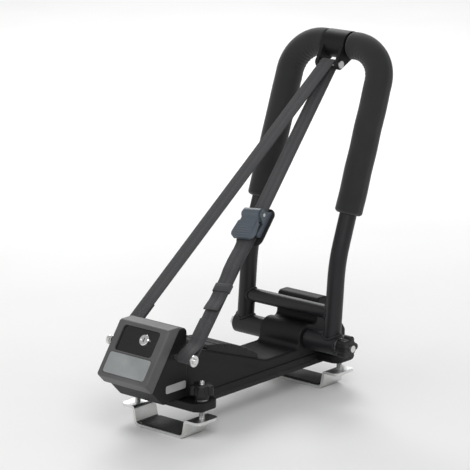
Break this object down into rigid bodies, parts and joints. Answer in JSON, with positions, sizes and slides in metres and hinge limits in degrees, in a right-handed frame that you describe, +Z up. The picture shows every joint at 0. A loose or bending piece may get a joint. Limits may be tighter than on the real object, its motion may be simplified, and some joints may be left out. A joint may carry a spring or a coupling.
{
  "type": "j-style kayak carrier",
  "caption": "J-style kayak carrier with a wedge base that clamps onto a crossbar, a lockable nose block, a folding padded bow and a cinch strap with cam buckle.",
  "frame": {"origin": "on the bar seat, at the middle of its flat underside, halfway between the two clamps", "axes": "+X inboard along the crossbar, +Y to the rear of the vehicle, +Z up"},
  "size_m": [0.4879, 0.2246, 0.5123],
  "materials": {
    "moulding_black": "fine-grained black moulded plastic",
    "bezel_grey": "satin mid-grey moulded plastic",
    "paddle_grey": "satin pale grey moulded plastic",
    "window_black": "gloss black moulded plastic",
    "chrome": "polished chrome plating",
    "tube_black": "black powder coat on steel",
    "zinc_steel": "bright zinc-plated steel",
    "pad_rubber": "matt black rubber",
    "sleeve_foam": "matt black foam rubber",
    "webbing": "woven black polypropylene webbing",
    "buckle_metal": "grey-blue coated zinc casting",
    "knob_black": "black glass-filled nylon",
    "bush_nylon": "natural nylon"
  },
  "bodies": {
    "base": {"base_beam": "moulding_black", "clamp_bridges": "moulding_black", "bar_seat": "pad_rubber", "lower_pad": "pad_rubber", "nose_housing": "moulding_black", "nose_bezel": "bezel_grey", "lock_plate": "window_black", "lock_barrel": "chrome", "nose_screws": "zinc_steel", "paddle_springs": "zinc_steel", "strap_pin": "zinc_steel", "strap_pin_washers": "zinc_steel", "heel_bumper": "pad_rubber", "pivot_bolt": "zinc_steel", "pivot_bushes": "bush_nylon", "pivot_washers": "zinc_steel", "knob_washers": "zinc_steel", "strap": "webbing", "strap_tether": "webbing"},
    "arm": {"arm_bow": "tube_black", "sleeve_front": "sleeve_foam", "sleeve_rear": "sleeve_foam", "strap_guide": "moulding_black", "strap_bar": "zinc_steel"},
    "buckle": {"buckle_frame": "buckle_metal", "buckle_pin": "zinc_steel", "buckle_pad": "pad_rubber"},
    "buckle_lever": {"buckle_lever": "buckle_metal"},
    "paddle": {"release_paddle": "paddle_grey"},
    "lock_rotor": {"lock_rotor": "chrome"},
    "pivot_knob": {"pivot_knob": "knob_black"},
    "outer_jaw": {"outer_jaw": "zinc_steel", "outer_jaw_liner": "pad_rubber", "outer_bolts": "zinc_steel"},
    "inner_jaw": {"inner_jaw": "zinc_steel", "inner_jaw_liner": "pad_rubber", "inner_bolts": "zinc_steel"},
    "outer_knob_front": {"outer_knob_front": "knob_black"},
    "outer_knob_rear": {"outer_knob_rear": "knob_black"},
    "inner_knob_front": {"inner_knob_front": "knob_black"},
    "inner_knob_rear": {"inner_knob_rear": "knob_black"}
  },
  "joints": [
    {"name": "arm_fold", "type": "hinge", "parent": "base", "child": "arm", "pos_m": [0.105, 0, 0.044], "axis": [0, -1, 0], "range_deg": [0, 85], "deforming": ["strap", "strap_tether"]},
    {"name": "buckle_follow", "type": "hinge", "parent": "base", "child": "buckle", "pos_m": [0.105, 0, 0.044], "axis": [0, -1, 0], "range_deg": [0, 36.2]},
    {"name": "lever_open", "type": "hinge", "parent": "buckle", "child": "buckle_lever", "pos_m": [-0.01002, -0.0326, 0.24875], "axis": [-0.0869, 0.993, -0.0801], "range_deg": [0, 70]},
    {"name": "paddle_press", "type": "slide", "parent": "base", "child": "paddle", "axis": [0.8192, 0, -0.5736], "range_m": [0, 0.007], "stiffness_N_per_m": 400, "springref_m": -0.006, "deforming": ["paddle_springs"]},
    {"name": "key_turn", "type": "hinge", "parent": "base", "child": "lock_rotor", "pos_m": [-0.21122, -0.01, 0.10739], "axis": [-0.8192, 0, 0.5736], "range_deg": [-90, 0]},
    {"name": "pivot_knob_turn", "type": "hinge", "parent": "base", "child": "pivot_knob", "pos_m": [0.105, -0.0972, 0.044], "axis": [0, -1, 0], "range_deg": [0, 720]},
    {"name": "outer_knob_front_turn", "type": "hinge", "parent": "base", "child": "outer_knob_front", "pos_m": [-0.15, -0.06, 0.0199], "axis": [0, 0, 1], "range_deg": [0, 1440]},
    {"name": "outer_knob_rear_turn", "type": "hinge", "parent": "base", "child": "outer_knob_rear", "pos_m": [-0.15, 0.06, 0.0199], "axis": [0, 0, 1], "range_deg": [0, 1440]},
    {"name": "outer_jaw_travel", "type": "slide", "parent": "base", "child": "outer_jaw", "axis": [0, 0, -1], "range_m": [0, 0.005]},
    {"name": "inner_knob_front_turn", "type": "hinge", "parent": "base", "child": "inner_knob_front", "pos_m": [0.15, -0.06, 0.0199], "axis": [0, 0, 1], "range_deg": [0, 1440]},
    {"name": "inner_knob_rear_turn", "type": "hinge", "parent": "base", "child": "inner_knob_rear", "pos_m": [0.15, 0.06, 0.0199], "axis": [0, 0, 1], "range_deg": [0, 1440]},
    {"name": "inner_jaw_travel", "type": "slide", "parent": "base", "child": "inner_jaw", "axis": [0, 0, -1], "range_m": [0, 0.005]}
  ],
  "couplings": [
    {"joint": "buckle_follow", "follows": "arm_fold", "ratio": 0.42525},
    {"joint": "outer_knob_front_turn", "follows": "outer_jaw_travel", "rad_per_m": 5026.5},
    {"joint": "outer_knob_rear_turn", "follows": "outer_jaw_travel", "rad_per_m": 5026.5},
    {"joint": "inner_knob_front_turn", "follows": "inner_jaw_travel", "rad_per_m": 5026.5},
    {"joint": "inner_knob_rear_turn", "follows": "inner_jaw_travel", "rad_per_m": 5026.5}
  ]
}
